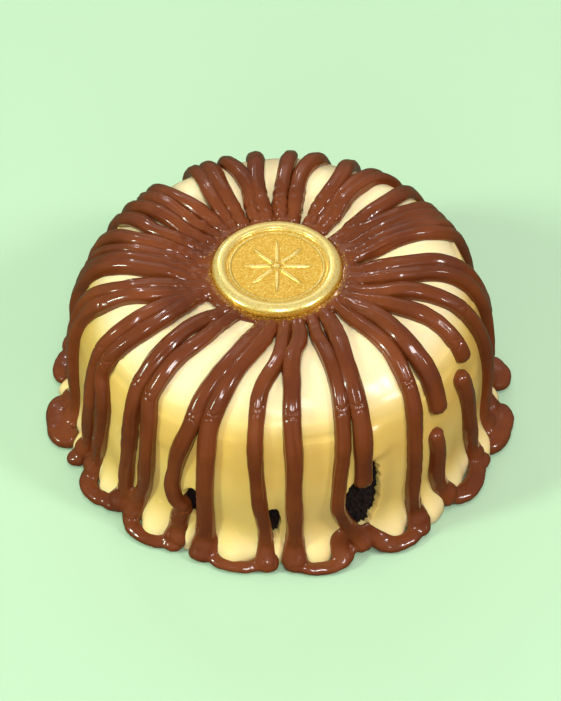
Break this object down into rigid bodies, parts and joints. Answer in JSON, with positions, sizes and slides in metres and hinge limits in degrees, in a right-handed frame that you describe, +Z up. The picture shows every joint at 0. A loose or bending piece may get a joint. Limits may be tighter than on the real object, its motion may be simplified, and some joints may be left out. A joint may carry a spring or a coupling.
{
  "type": "bundt cake",
  "caption": "Ring-shaped bundt cake: dark chocolate sponge under cream icing and thick radial chocolate ropes, with a round gold seal over its central hole.",
  "frame": {"origin": "on the ring's axis, on the surface that the cake stands on", "axes": "+Z up along the ring's axis; the shown side faces -Y and +X is to its right"},
  "size_m": [0.2344, 0.2271, 0.1],
  "materials": {
    "sponge": "open crumb of dark chocolate sponge",
    "icing": "smooth cream icing with a satin sheen",
    "chocolate": "glossy milk chocolate ganache",
    "gold": "satin gold with a sparkling grainy field"
  },
  "bodies": {
    "root": {"sponge": "sponge", "icing": "icing", "seal": "gold"}
  },
  "joints": []
}
